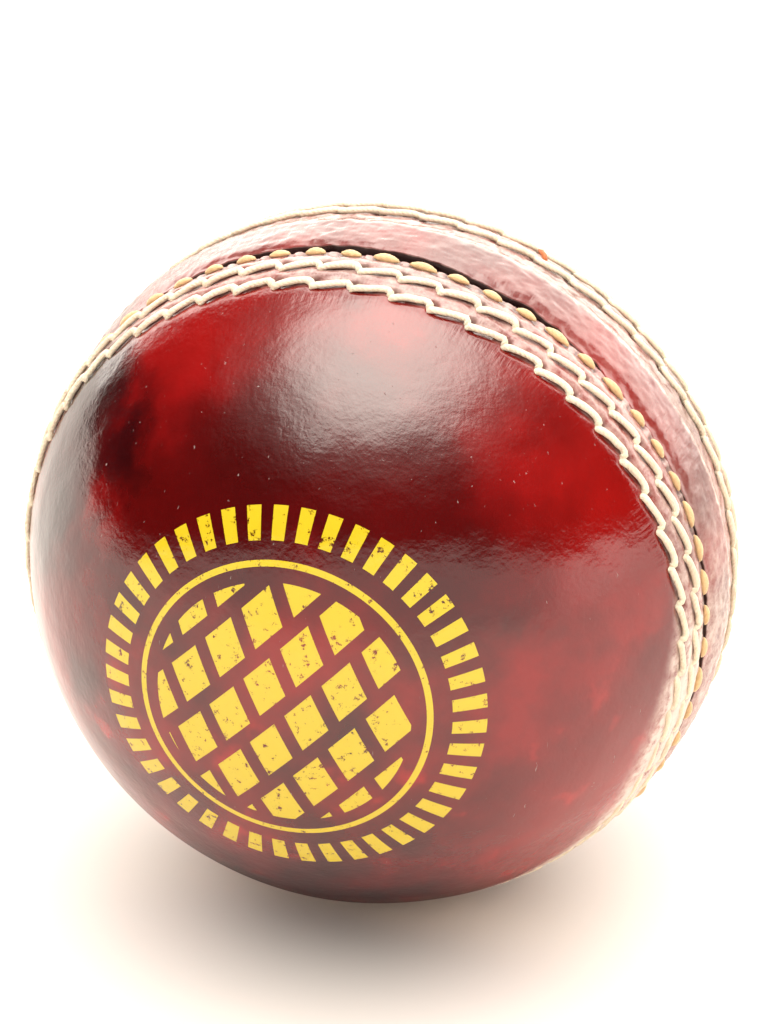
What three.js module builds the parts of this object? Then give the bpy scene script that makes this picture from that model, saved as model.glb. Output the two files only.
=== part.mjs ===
// A cricket ball in millimetres, +Z up, with its origin at the ball's centre. The ball stands on its seam:
// the seam's plane is the XZ plane, the seam's axis is Y, and the front cup faces -Y. A leather case of two
// lined cups is closed with thread over a quilt of wound yarn and cork slips around a cork and rubber centre.
import * as THREE from "three";

// The ball as a whole.
const BALL_RADIUS = 35.7; // leather away from the seam: 224.3 mm round
const SEAM_RISE = 0.5; // how far the stitched band stands above the rest of the leather
const CREST_RISE = 0.75; // the back cup's lip, which overlaps the joint and is the ball's largest girth
const CLEARANCE = 0.3; // gap between pieces that lie on each other

// The seam, as latitudes in degrees from the seam's middle plane: front is positive.
const FRONT_LIP_EDGE = 4.7;
const BACK_LIP_EDGE = 3.4; // past the middle, because the back lip overhangs the joint
const BACK_LIP_CREST = 2; // degrees behind the middle plane
const CLOSING_ROW = 6.3;
const INNER_ROW = 11;
const OUTER_ROW = 15.5;
const CREAM_STITCHES = 53;
const CLOSING_STITCHES = 59;
const THREAD_RADIUS = 0.35;
const CLOSING_THREAD_RADIUS = 0.42;
const STITCH_SLANT = 0.35; // how far a stitch's ends lie to each side of its row

// Layers, from the leather inwards.
const COVER_THICKNESS = 3.1;
const LINING_THICKNESS = 1;
const WINDING_THICKNESS = 2;
const CORK_THICKNESS = 2;
const SLIPS_PER_LAYER = 4;

// How finely the round pieces are faceted.
const COVER_SEGMENTS = 36;
const LAYER_STEP = 15; // degrees
const LAYER_SEGMENTS = 360 / LAYER_STEP;
const THREAD_SIDES = 4;
const COVER_STEP = 10; // degrees
const FACET_SAG = Math.cos(THREE.MathUtils.degToRad(LAYER_STEP / 2)) ** 2; // radius left at a facet's middle

const seamSurface = BALL_RADIUS + SEAM_RISE;
const coverInside = BALL_RADIUS - COVER_THICKNESS;

// The point at a latitude and a distance from the centre, in the plane of a lathe profile whose axis is Y.
function profilePoint(latitude, radius) {
  const angle = THREE.MathUtils.degToRad(latitude);
  return new THREE.Vector2(Math.max(0, radius * Math.cos(angle)), radius * Math.sin(angle));
}

// Points of a profile's arc from one latitude to another, both ends included.
function arc(radius, from, to, step) {
  const count = Math.max(1, Math.round(Math.abs(to - from) / step));
  return Array.from({ length: count + 1 }, (_, i) =>
    profilePoint(from + ((to - from) * i) / count, radius),
  );
}

// ---------------------------------------------------------------- leather cups

const GROOVE_DEPTH = 0.55; // each stitched row lies in a groove that its thread has pulled into the leather
const GROOVE_HALF_WIDTH = 1.5; // degrees
const GROOVE_WALL = 0.3; // degrees that a groove's wall slopes over
const SHOULDER = 1.6; // degrees over which the band falls to the ball's round surface
const REBATE_DEPTH = 0.9; // the front lip's edge, trodden down by the closing thread
const REBATE_EDGE = 7.5; // latitude where that edge rises to the band
const LIP_ROUNDING = 1.2; // degrees

const rebateFloor = seamSurface - REBATE_DEPTH;

function groove(row) {
  const floor = seamSurface - GROOVE_DEPTH;
  return [
    profilePoint(row + GROOVE_HALF_WIDTH + GROOVE_WALL, seamSurface),
    profilePoint(row + GROOVE_HALF_WIDTH, floor),
    profilePoint(row - GROOVE_HALF_WIDTH, floor),
    profilePoint(row - GROOVE_HALF_WIDTH - GROOVE_WALL, seamSurface),
  ];
}

// A cup's closed profile, from the pole inside it, round its lip and back to the pole on the leather. The
// lip's points run from the band's groove nearest the joint down to the edge that faces the other cup.
function cupGeometry(lip, edge) {
  const shoulderStart = OUTER_ROW + GROOVE_HALF_WIDTH + GROOVE_WALL + SHOULDER;
  const outside = [
    ...arc(BALL_RADIUS, 90, shoulderStart, COVER_STEP),
    ...groove(OUTER_ROW),
    ...groove(INNER_ROW),
    ...lip,
  ];
  const inside = arc(coverInside, edge, 90, LAYER_STEP);
  return new THREE.LatheGeometry([...outside, ...inside].reverse(), COVER_SEGMENTS);
}

const frontLip = [
  profilePoint(REBATE_EDGE + GROOVE_WALL, seamSurface),
  profilePoint(REBATE_EDGE, rebateFloor),
  profilePoint(FRONT_LIP_EDGE, rebateFloor),
];

// The back cup's own front is its pole, so latitudes past the middle plane are negative here.
const backLip = [
  profilePoint((INNER_ROW + BACK_LIP_CREST) / 2, BALL_RADIUS + (SEAM_RISE + CREST_RISE) / 2),
  profilePoint(BACK_LIP_CREST, BALL_RADIUS + CREST_RISE),
  profilePoint(-BACK_LIP_EDGE + LIP_ROUNDING, BALL_RADIUS + SEAM_RISE),
  profilePoint(-BACK_LIP_EDGE, BALL_RADIUS),
];

// ---------------------------------------------------------------- thread

const SLANTED_SHARE = 0.8; // of a stitch: the thread steps back over the row in the rest
const STEPS_PER_STITCH = 2;
const THREAD_DIP = 0.05;

// One row of stitches as a single closed thread. Each stitch slants across the row, and the thread steps
// back over the row to the next stitch's start.
class StitchedRow extends THREE.Curve {
  constructor(latitude, radius, stitches, dip) {
    super();
    Object.assign(this, { latitude, radius, stitches, dip });
  }

  getPoint(t, target = new THREE.Vector3()) {
    const phase = (t * this.stitches) % 1;
    const slant = phase < SLANTED_SHARE ? phase / SLANTED_SHARE : (1 - phase) / (1 - SLANTED_SHARE);
    const across = STITCH_SLANT * (2 * slant - 1);
    const radius = this.radius - this.dip * Math.cos(2 * Math.PI * phase) ** 2;
    const latitude = THREE.MathUtils.degToRad(this.latitude);
    const girth = radius * Math.cos(latitude) - across * Math.sin(latitude);
    const height = radius * Math.sin(latitude) + across * Math.cos(latitude);
    const turn = 2 * Math.PI * t;
    return target.set(girth * Math.sin(turn), height, girth * Math.cos(turn));
  }
}

function threadGeometry(latitude, radius, stitches, threadRadius) {
  const path = new StitchedRow(latitude, radius, stitches, THREAD_DIP);
  return new THREE.TubeGeometry(path, stitches * STEPS_PER_STITCH, threadRadius, THREAD_SIDES, true);
}

// ---------------------------------------------------------------- quilted layers

// A wound layer is a shell round all that lies inside it. The yarn's end goes in through a small hole at
// one pole, which keeps the shell open.
const YARN_HOLE = 6; // degrees from the pole to the hole's edge

function windingGeometry(inside, outside) {
  const open = 90 - YARN_HOLE;
  const profile = [...arc(outside, -90, open, LAYER_STEP), ...arc(inside, open, -90, LAYER_STEP)];
  return new THREE.LatheGeometry(profile, LAYER_SEGMENTS);
}

// A lining is half a shell, which ends half a clearance short of the middle plane.
function liningGeometry(inside, outside) {
  const rim = THREE.MathUtils.radToDeg(Math.asin(CLEARANCE / 2 / inside));
  const outer = arc(outside, rim, 90, LAYER_STEP);
  const inner = arc(inside, 90, rim, LAYER_STEP);
  return new THREE.LatheGeometry([...outer, ...inner, outer[0]], LAYER_SEGMENTS);
}

// A cork slip is a curved gore of a shell. It is a box whose width, height and depth are read as
// longitude, latitude and distance from the centre.
const SLIP_GAP = 2; // degrees between neighbouring slips
const SLIP_END = 80; // latitude where a slip ends, short of the pole

function slipGeometry(inside, outside, longitude) {
  const width = 360 / SLIPS_PER_LAYER - SLIP_GAP;
  const across = Math.round(width / LAYER_STEP);
  const along = Math.round((2 * SLIP_END) / LAYER_STEP);
  const slip = new THREE.BoxGeometry(width, 2 * SLIP_END, outside - inside, across, along, 1);
  const position = slip.getAttribute("position");
  const point = new THREE.Vector3();
  for (let i = 0; i < position.count; i++) {
    const radius = (inside + outside) / 2 + position.getZ(i);
    const polar = THREE.MathUtils.degToRad(90 - position.getY(i));
    point.setFromSphericalCoords(
      radius,
      polar,
      THREE.MathUtils.degToRad(longitude + position.getX(i)),
    );
    position.setXYZ(i, point.x, point.y, point.z);
  }
  return slip;
}

// ---------------------------------------------------------------- materials

const finish = (color, roughness) =>
  new THREE.MeshStandardMaterial({ color, roughness, metalness: 0 });

const redLeather = finish(0x7a1216, 0.3);
const creamThread = finish(0xe8d3ad, 0.7);
const goldThread = finish(0xc9a063, 0.65);
const liningCloth = finish(0xb9a98a, 0.9);
const worstedYarn = finish(0xd8cbb0, 0.95);
const cork = finish(0xb98a58, 0.85);
const corkRubber = finish(0x4a3426, 0.8);

// ---------------------------------------------------------------- the ball

const ball = new THREE.Group();

// Each half is built with its pole on +Y. The front half is turned over, so that its pole is on -Y.
const backHalf = new THREE.Group();
const frontHalf = new THREE.Group();
frontHalf.rotation.x = Math.PI;
ball.add(backHalf, frontHalf);

function piece(parent, name, geometry, material) {
  const mesh = new THREE.Mesh(geometry, material);
  mesh.name = name;
  parent.add(mesh);
}

piece(frontHalf, "front_cup", cupGeometry(frontLip, FRONT_LIP_EDGE), redLeather);
piece(backHalf, "back_cup", cupGeometry(backLip, -BACK_LIP_EDGE), redLeather);

const threadSeat = seamSurface - GROOVE_DEPTH + CLEARANCE + THREAD_RADIUS;
for (const [half, side] of [
  [frontHalf, "front"],
  [backHalf, "back"],
]) {
  for (const [row, latitude] of [
    ["inner", INNER_ROW],
    ["outer", OUTER_ROW],
  ]) {
    const geometry = threadGeometry(latitude, threadSeat, CREAM_STITCHES, THREAD_RADIUS);
    piece(half, `${side}_${row}_stitches`, geometry, creamThread);
  }
}

const closingSeat = rebateFloor + CLEARANCE + CLOSING_THREAD_RADIUS;
piece(
  frontHalf,
  "closing_thread",
  threadGeometry(CLOSING_ROW, closingSeat, CLOSING_STITCHES, CLOSING_THREAD_RADIUS),
  goldThread,
);

// The layers are laid from the outside in, each a clearance inside the flat facets of the last.
let outside = coverInside * FACET_SAG - CLEARANCE;
function nextLayer(thickness) {
  const layer = { outside, inside: outside - thickness };
  outside = layer.inside * FACET_SAG - CLEARANCE;
  return layer;
}

const lining = nextLayer(LINING_THICKNESS);
piece(frontHalf, "front_lining", liningGeometry(lining.inside, lining.outside), liningCloth);
piece(backHalf, "back_lining", liningGeometry(lining.inside, lining.outside), liningCloth);

function addWinding(name) {
  const layer = nextLayer(WINDING_THICKNESS);
  piece(ball, name, windingGeometry(layer.inside, layer.outside), worstedYarn);
}

// Each cork layer is turned half a slip from the next, so that its joins don't line up with theirs.
function addCorkLayer(name, turn) {
  const layer = nextLayer(CORK_THICKNESS);
  for (let i = 0; i < SLIPS_PER_LAYER; i++) {
    const longitude = (360 * (i + turn)) / SLIPS_PER_LAYER;
    piece(ball, `${name}_${i + 1}`, slipGeometry(layer.inside, layer.outside, longitude), cork);
  }
}

addWinding("outer_winding");
addCorkLayer("outer_cork_slip", 0);
addWinding("middle_winding");
addCorkLayer("inner_cork_slip", 0.5);
addWinding("inner_winding");

const centre = arc(outside, -90, 90, LAYER_STEP);
piece(ball, "cork_rubber_centre", new THREE.LatheGeometry(centre, LAYER_SEGMENTS), corkRubber);

export default ball;
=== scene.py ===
import math

import bpy
import numpy as np
from mathutils import Matrix, Vector, noise


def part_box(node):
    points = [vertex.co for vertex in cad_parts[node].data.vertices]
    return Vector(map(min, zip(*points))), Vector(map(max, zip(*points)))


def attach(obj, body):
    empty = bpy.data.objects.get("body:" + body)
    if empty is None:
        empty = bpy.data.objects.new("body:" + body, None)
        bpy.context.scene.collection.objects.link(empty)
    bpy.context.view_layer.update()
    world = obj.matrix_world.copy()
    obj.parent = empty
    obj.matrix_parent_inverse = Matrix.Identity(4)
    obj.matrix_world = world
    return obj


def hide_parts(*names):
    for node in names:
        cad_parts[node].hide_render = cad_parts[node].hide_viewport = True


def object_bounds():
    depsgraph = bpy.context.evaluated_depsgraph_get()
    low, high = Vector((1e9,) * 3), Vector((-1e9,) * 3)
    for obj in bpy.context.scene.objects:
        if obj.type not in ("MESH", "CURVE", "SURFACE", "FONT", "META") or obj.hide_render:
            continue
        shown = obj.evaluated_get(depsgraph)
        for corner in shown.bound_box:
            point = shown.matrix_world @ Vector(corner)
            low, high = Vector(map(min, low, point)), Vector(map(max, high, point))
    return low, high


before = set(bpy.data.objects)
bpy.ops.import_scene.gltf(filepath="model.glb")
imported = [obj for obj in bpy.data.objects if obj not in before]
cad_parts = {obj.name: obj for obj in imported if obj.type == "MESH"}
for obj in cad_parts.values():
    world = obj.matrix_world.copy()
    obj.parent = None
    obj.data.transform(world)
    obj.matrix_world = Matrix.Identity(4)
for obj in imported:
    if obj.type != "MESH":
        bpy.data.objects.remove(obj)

bl_info = {
    "name": "Cricket Ball",
    "version": (1, 0, 0),
    "blender": (4, 5, 0),
    "location": "View3D > Sidebar > Cricket Ball",
    "description": "Makes a hand-stitched leather cricket ball, with the quilt of yarn and cork inside it",
    "category": "Add Mesh",
}

CAD_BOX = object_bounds()
MM = 0.001  # metres in a millimetre: lengths below are in mm until a mesh is made


# ---------------------------------------------------------------- measures taken from the frame


def corners(node):
    """The vertices of a CAD node, in mm."""
    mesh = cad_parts[node].data
    flat = np.zeros(3 * len(mesh.vertices))
    mesh.vertices.foreach_get("co", flat)
    return flat.reshape(-1, 3) / MM


def shell(node):
    """The nearest and the farthest distance of a CAD node's vertices from the ball's centre, in mm."""
    distances = np.linalg.norm(corners(node), axis=1)
    return distances.min(), distances.max()


def row_latitude(node):
    """How far a row of thread lies from the seam's middle plane, in degrees."""
    x, y, z = corners(node).T
    return float(np.degrees(np.arctan2(np.abs(y), np.hypot(x, z))).mean())


BALL_RADIUS = -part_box("front_cup")[0].y / MM
LEATHER_INSIDE = shell("front_cup")[0]
CREST_RADIUS = shell("back_cup")[1]
INNER_ROW = row_latitude("front_inner_stitches")
OUTER_ROW = row_latitude("front_outer_stitches")
CLOSING_ROW = row_latitude("closing_thread")
FRONT_LIP = math.degrees(math.asin(-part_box("front_cup")[1].y / MM / LEATHER_INSIDE))
BACK_LIP = math.degrees(math.asin(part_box("back_cup")[0].y / MM / BALL_RADIUS))
DEGREE = math.radians(BALL_RADIUS)  # mm of leather in one degree

BAND_RISE = 0.5  # how far the stitched band stands above the rest of the leather
CREAM_STITCHES = 53
CLOSING_STITCHES = 59


# ---------------------------------------------------------------- settings


def linear(code):
    """A colour as Blender keeps it, from its sRGB hex value."""
    channels = [int(code[i : i + 2], 16) / 255 for i in (1, 3, 5)]
    values = [c / 12.92 if c <= 0.04045 else ((c + 0.055) / 1.055) ** 2.4 for c in channels]
    return (*values, 1.0)


def colour(name, code, description):
    return bpy.props.FloatVectorProperty(
        name=name, description=description, default=linear(code), size=4, min=0, max=1, subtype="COLOR"
    )


def length(name, millimetres, description):
    return bpy.props.FloatProperty(
        name=name, description=description, default=millimetres * MM, min=0, unit="LENGTH", precision=5
    )


class BallSizes(bpy.types.PropertyGroup):
    thread_width: length("Stitching thread", 0.84, "Width of the cream thread in the four rows")
    bead_length: length("Closing stitch", 2.45, "How much of each closing stitch shows")
    bead_width: length("Closing thread", 1.05, "Width of the golden closing thread")
    yarn_width: length("Yarn", 0.9, "Width of the worsted yarn in the wound layers")
    puff: length("Puff", 0.2, "How high the leather puffs up between two rows of stitches")
    grain: length("Grain", 0.45, "Width of one cell of the leather's grain")
    seed: bpy.props.IntProperty(name="Seed", description="Start of everything random", default=11, min=0)


class BallColours(bpy.types.PropertyGroup):
    bright_red: colour("Bright red", "#ab130e", "Leather where the dye has rubbed thin")
    red: colour("Red", "#800808", "Most of the leather")
    mid_red: colour("Middle red", "#630505", "Leather where the dye lies thicker")
    # Maroon is also painted shade: in the needle holes, grooves, joint and cut edge, and on the underside
    deep_red: colour("Deep red", "#410303", "Leather where the dye has gone in twice")
    maroon: colour("Maroon", "#1c0204", "Leather darkened by oil and handling")
    # Pale pink of rubbed leather and scratches; along the seam it is also painted sheen
    pale_rub_and_sheen: colour("Rubbed leather", "#dac6ba", "Leather whose lacquer is rubbed thin, along the seam")
    cream: colour("Cream thread", "#f0dfc3", "Waxed linen of the four rows")
    gold: colour("Golden thread", "#e2bd88", "Waxed linen of the closing row")
    loose_end: colour("Loose end", "#c4682a", "Cut end of thread, out in the weather longest")
    foil: colour("Foil", "#cdb21f", "Pigment foil pressed into the front cup")
    cloth: colour("Lining", "#b9a98a", "Cotton backing glued inside the cups")
    yarn: colour("Yarn", "#d8cbb0", "Undyed worsted yarn")
    cork: colour("Cork", "#b98a58", "Sheet cork")
    cork_rubber: colour("Cork rubber", "#4a3426", "Moulded cork and rubber")


class StageSettings(bpy.types.PropertyGroup):
    azimuth: bpy.props.FloatProperty(
        name="Azimuth",
        description="Side from which the camera sees the ball",
        default=math.radians(18.1),
        subtype="ANGLE",
    )
    elevation: bpy.props.FloatProperty(
        name="Elevation",
        description="How far above the ball's middle the camera is",
        default=math.radians(27.6),
        subtype="ANGLE",
    )
    distance: length("Distance", 714, "From the camera to the ball's centre")
    lens: bpy.props.FloatProperty(name="Lens", description="Focal length in mm", default=244.4, min=1)
    floor: colour("Floor", "#e8e0d8", "White painted board under the ball")


# ---------------------------------------------------------------- nodes


def add(tree, kind, inputs=None, stops=None, take=0, **settings):
    """Add one node with its settings, its inputs (values or other nodes' outputs) and a ramp's stops. It
    gives back the output that take names, or all of them where take is None."""
    made = tree.nodes.new(kind)
    for name, value in settings.items():
        setattr(made, name, value)
    for key, value in (inputs or {}).items():
        if isinstance(value, bpy.types.NodeSocket):
            tree.links.new(value, made.inputs[key])
        else:
            made.inputs[key].default_value = value
    if stops:
        elements = made.color_ramp.elements
        while len(elements) < len(stops):
            elements.new(1)
        for element, (position, value) in zip(elements, stops):
            element.position = position
            element.color = value if hasattr(value, "__len__") else (value, value, value, 1)
    return made.outputs[take] if made.outputs and take is not None else made.outputs


def new_material(name):
    """An empty material and its node tree."""
    material = bpy.data.materials.new(name)
    material.use_nodes = True
    material.node_tree.nodes.clear()
    return material, material.node_tree


def millimetres(tree):
    """The piece's own coordinates in mm, so that a texture's scale is one over its grain's width."""
    coordinates = add(tree, "ShaderNodeTexCoord", take="Object")
    scale = (1 / MM, 1 / MM, 1 / MM)
    return add(tree, "ShaderNodeMapping", {"Vector": coordinates, "Scale": scale})


# ---------------------------------------------------------------- materials


# The mark on the front cup, in mm. Each half width is measured from the middle of its ring.
MARK_TURN = math.radians(45)
MARK_SHIFT = (-0.92, 0, 0.19)
DASHES = 44
DASH_SHARE = 0.54  # of each dash's pitch
DASH_RING, DASH_RING_HALF = 18.3, 1.5
THIN_RING, THIN_RING_HALF = 14.8, 0.3
LATTICE_RADIUS = 13.1
BLOCK_WIDTH, BLOCK_HEIGHT, BLOCK_GAP, BLOCK_SLANT = 5.2, 5.4, 0.75, -0.35


def foil_mask(tree, place):
    """Where foil is pressed into the leather: a ring of dashes, a thin ring and a lattice of slanted blocks,
    all a little worn away."""
    turned = add(tree, "ShaderNodeMapping", {"Vector": place, "Rotation": (0, MARK_TURN, 0)})
    centred = add(tree, "ShaderNodeVectorMath", {0: turned, 1: MARK_SHIFT}, operation="ADD")
    along, depth, across = add(tree, "ShaderNodeSeparateXYZ", {0: centred}, take=None)
    flat = add(tree, "ShaderNodeCombineXYZ", {0: along, 1: across})
    radius = add(tree, "ShaderNodeVectorMath", {0: flat}, operation="LENGTH", take="Value")

    angle = add(tree, "ShaderNodeMath", {0: across, 1: along}, operation="ARCTAN2")
    turns = add(tree, "ShaderNodeMath", {0: angle, 1: DASHES / math.tau}, operation="MULTIPLY")
    part = add(tree, "ShaderNodeMath", {0: turns, 1: 0.5}, operation="PINGPONG")
    dash = add(tree, "ShaderNodeMath", {0: part, 1: DASH_SHARE / 2}, operation="LESS_THAN")
    in_ring = add(tree, "ShaderNodeMath", {0: radius, 1: DASH_RING, 2: DASH_RING_HALF}, operation="COMPARE")
    dashes = add(tree, "ShaderNodeMath", {0: dash, 1: in_ring}, operation="MULTIPLY")
    ring = add(tree, "ShaderNodeMath", {0: radius, 1: THIN_RING, 2: THIN_RING_HALF}, operation="COMPARE")

    slant = add(tree, "ShaderNodeMath", {0: across, 1: BLOCK_SLANT, 2: along}, operation="MULTIPLY_ADD")
    slanted = add(tree, "ShaderNodeCombineXYZ", {0: slant, 1: across})
    sizes = {"Scale": 1.0, "Mortar Size": BLOCK_GAP, "Mortar Smooth": 0.0}
    sizes |= {"Brick Width": BLOCK_WIDTH, "Row Height": BLOCK_HEIGHT}
    gaps = add(tree, "ShaderNodeTexBrick", {"Vector": slanted, **sizes}, offset=0.5, take="Fac")
    block = add(tree, "ShaderNodeMath", {0: 1.0, 1: gaps}, operation="SUBTRACT")
    inside = add(tree, "ShaderNodeMath", {0: radius, 1: LATTICE_RADIUS}, operation="LESS_THAN")
    lattice = add(tree, "ShaderNodeMath", {0: block, 1: inside}, operation="MULTIPLY")

    mask = add(tree, "ShaderNodeMath", {0: dashes, 1: lattice}, operation="MAXIMUM")
    mask = add(tree, "ShaderNodeMath", {0: mask, 1: ring}, operation="MAXIMUM")
    front = add(tree, "ShaderNodeMath", {0: depth, 1: 0.0}, operation="LESS_THAN")
    wear = add(
        tree, "ShaderNodeTexNoise", {"Vector": place, "Scale": 1.1, "Detail": 6.0, "Roughness": 0.75}
    )
    kept = add(tree, "ShaderNodeValToRGB", {0: wear}, stops=[(0.37, 0.0), (0.42, 1.0)])
    mask = add(tree, "ShaderNodeMath", {0: mask, 1: front}, operation="MULTIPLY")
    return add(tree, "ShaderNodeMath", {0: mask, 1: kept}, operation="MULTIPLY")


# Where the leather is stained darker or rubbed brighter, and one painted shade on the underside: the place
# in mm, the distances in mm at which that starts and is full, its depth and its colour. The mottling adds up
# to
# STAIN_FRAY mm to each distance.
STAIN_FRAY = 22.0
STAINS = (
    ((24.3, -12.0, 23.2), 29.0, 19.0, 0.4, "bright_red"),
    ((-11.9, -13.5, 30.8), 23.0, 15.0, 0.3, "bright_red"),
    ((9.8, -26.9, 21.3), 31.0, 19.0, 0.8, "deep_red"),
    ((-10.2, -28.5, 18.9), 27.0, 18.0, 0.75, "deep_red"),
    ((-24.5, -16.5, 17.0), 24.0, 19.0, 0.8, "maroon"),
    # Painted shade: the underside of the ball darkened in colour
    ((4.0, -22.0, -29.0), 31.0, 19.0, 0.75, "maroon"),
    ((29.0, -11.0, -17.0), 32.0, 15.0, 0.45, "bright_red"),
)


def dyed(tree, place, colours):
    """The dye, mottled by how deep it went in: blotches where it rubbed thin low on the ball, then the
    stains, and a painted shade on the underside."""
    mottle = add(
        tree, "ShaderNodeTexNoise", {"Vector": place, "Scale": 1 / 11, "Detail": 5.0, "Roughness": 0.5}
    )
    depths = [(0.34, colours.deep_red), (0.5, colours.mid_red), (0.66, colours.red)]
    dye = add(tree, "ShaderNodeValToRGB", {0: mottle}, stops=depths)
    blotches = add(
        tree, "ShaderNodeTexNoise", {"Vector": place, "Scale": 1 / 5.5, "Detail": 3.0, "Roughness": 0.5}
    )
    level = add(tree, "ShaderNodeSeparateXYZ", {0: place}, take=2)
    low = add(tree, "ShaderNodeMapRange", {0: level, 1: 6.0, 2: -8.0})
    blotch = add(tree, "ShaderNodeMapRange", {0: blotches, 1: 0.6, 2: 0.72, 4: 0.6})
    blotch = add(tree, "ShaderNodeMath", {0: blotch, 1: low}, operation="MULTIPLY")
    dye = add(tree, "ShaderNodeMix", {0: blotch, 6: dye, 7: colours.bright_red}, data_type="RGBA", take=2)
    for centre, edge, core, depth, tint in STAINS:
        reach = add(tree, "ShaderNodeVectorMath", {0: place, 1: centre}, operation="DISTANCE", take="Value")
        frayed = add(tree, "ShaderNodeMath", {0: mottle, 1: STAIN_FRAY, 2: reach}, operation="MULTIPLY_ADD")
        stain = add(tree, "ShaderNodeMapRange", {0: frayed, 1: edge, 2: core, 4: depth})
        shade = getattr(colours, tint)
        dye = add(tree, "ShaderNodeMix", {0: stain, 6: dye, 7: shade}, data_type="RGBA", take=2)
    return dye


def leather_relief(tree, place, sizes, scuff):
    """The leather's normal: its grain and fine creases, folds that run over the seam, scuffs, and slow waves
    that bend the reflections."""
    grain = add(
        tree,
        "ShaderNodeTexNoise",
        {"Vector": place, "Scale": MM / sizes.grain, "Detail": 4.0, "Roughness": 0.6},
    )
    cells = add(
        tree,
        "ShaderNodeTexVoronoi",
        {"Vector": place, "Scale": 1 / 1.3, "Randomness": 1.0},
        feature="DISTANCE_TO_EDGE",
        take="Distance",
    )
    crease = add(tree, "ShaderNodeMapRange", {0: cells, 1: 0.0, 2: 0.12})
    fine = add(tree, "ShaderNodeMath", {0: crease, 1: 0.06, 2: grain}, operation="MULTIPLY_ADD")

    fold_wide, fold_long = 0.5, 5.0  # mm
    x, y, z = add(tree, "ShaderNodeSeparateXYZ", {0: place}, take=None)
    turn = add(tree, "ShaderNodeMath", {0: x, 1: z}, operation="ARCTAN2")
    round_seam = add(tree, "ShaderNodeMath", {0: turn, 1: BALL_RADIUS / fold_wide}, operation="MULTIPLY")
    over_seam = add(tree, "ShaderNodeMath", {0: y, 1: 1 / fold_long}, operation="MULTIPLY")
    fold_at = add(tree, "ShaderNodeCombineXYZ", {0: round_seam, 1: over_seam})
    crumple = {"Vector": fold_at, "Scale": 1.0, "Detail": 3.0, "Roughness": 0.6}
    folds = add(tree, "ShaderNodeTexNoise", crumple)
    creased = add(tree, "ShaderNodeAttribute", attribute_name="creased", take="Fac")
    folded = add(tree, "ShaderNodeMath", {0: folds, 1: creased}, operation="MULTIPLY")

    swell = {"Vector": place, "Scale": 1 / 5, "Detail": 3.0, "Roughness": 0.5}
    waves = add(tree, "ShaderNodeTexNoise", swell)
    normal = None
    layers = ((fine, 0.026, False), (folded, 0.07, False), (scuff, 0.05, True), (waves, 0.16, False))
    for height, depth, sunk in layers:  # depth in mm
        inputs = {"Strength": 1.0, "Distance": depth * MM, "Height": height}
        if normal:
            inputs["Normal"] = normal
        normal = add(tree, "ShaderNodeBump", inputs, invert=sunk)
    return normal


def lacquered_leather(colours, sizes, name, stamped):
    """Alum-tanned cow leather, dyed red and lacquered: a deep mottled red under a hard clear gloss, with
    fine creases in the gloss, and rubbed dull and pale along the seam, the pale partly a painted sheen.
    Holes, grooves and the joint get painted shade. The lacquer is scraped thin on the underside."""
    material, tree = new_material(name)
    place = millimetres(tree)
    hollow = add(tree, "ShaderNodeAttribute", attribute_name="hollow", take="Fac")
    band = add(tree, "ShaderNodeAttribute", attribute_name="band", take="Fac")

    dye = dyed(tree, place, colours)
    # Painted sheen: the pale mix along the seam is partly rubbed leather, partly a painted whitish
    # reflection
    rubbed = add(
        tree, "ShaderNodeTexNoise", {"Vector": place, "Scale": 1 / 1.6, "Detail": 6.0, "Roughness": 0.7}
    )
    rub_and_sheen = add(tree, "ShaderNodeMapRange", {0: rubbed, 1: 0.28, 2: 0.66})
    rub_and_sheen = add(tree, "ShaderNodeMath", {0: rub_and_sheen, 1: band}, operation="MULTIPLY")
    rub_and_sheen = add(tree, "ShaderNodeMath", {0: rub_and_sheen, 1: 0.8}, operation="MULTIPLY")
    scuff_turn, scuff_size = (0.3, 0.6, 0.2), (0.5, 0.5, 14)  # radians and mm: long thin scratches
    scale = tuple(1 / size for size in scuff_size)
    scuff_at = add(tree, "ShaderNodeMapping", {"Vector": place, "Rotation": scuff_turn, "Scale": scale})
    scratches = {"Vector": scuff_at, "Scale": 1.0, "Detail": 3.0, "Roughness": 0.65}
    scuff = add(tree, "ShaderNodeTexNoise", scratches)
    scuff = add(tree, "ShaderNodeMapRange", {0: scuff, 1: 0.71, 2: 0.77})
    paler = add(tree, "ShaderNodeMath", {0: scuff, 1: 0.3}, operation="MULTIPLY")
    # Painted shade: maroon darkens the needle holes, grooves, the joint's mouth and the lip's cut edge
    layers = [(rub_and_sheen, colours.pale_rub_and_sheen), (hollow, colours.maroon), (paler, colours.pale_rub_and_sheen)]
    if stamped:
        layers.append((foil_mask(tree, place), colours.foil))
    for share, tint in layers:
        dye = add(tree, "ShaderNodeMix", {0: share, 6: dye, 7: tint}, data_type="RGBA", take=2)

    level = add(tree, "ShaderNodeSeparateXYZ", {0: place}, take=2)
    scraped = add(tree, "ShaderNodeMapRange", {0: level, 1: -17.0, 2: -27.0, 3: 1.0, 4: 0.35})
    gloss = add(tree, "ShaderNodeMapRange", {0: rub_and_sheen, 1: 0.0, 2: 0.5, 3: 1.0, 4: 0.6})
    gloss = add(tree, "ShaderNodeMath", {0: gloss, 1: scraped}, operation="MULTIPLY")
    normal = leather_relief(tree, place, sizes, scuff)
    leather = add(
        tree,
        "ShaderNodeBsdfPrincipled",
        {
            "Base Color": dye,
            "Roughness": 0.5,
            "Specular IOR Level": 0.0,
            "Normal": normal,
            "Coat Weight": gloss,
            "Coat Roughness": 0.13,
            "Coat IOR": 1.6,
            "Coat Normal": normal,
        },
    )
    add(tree, "ShaderNodeOutputMaterial", {0: leather})
    return material


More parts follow.
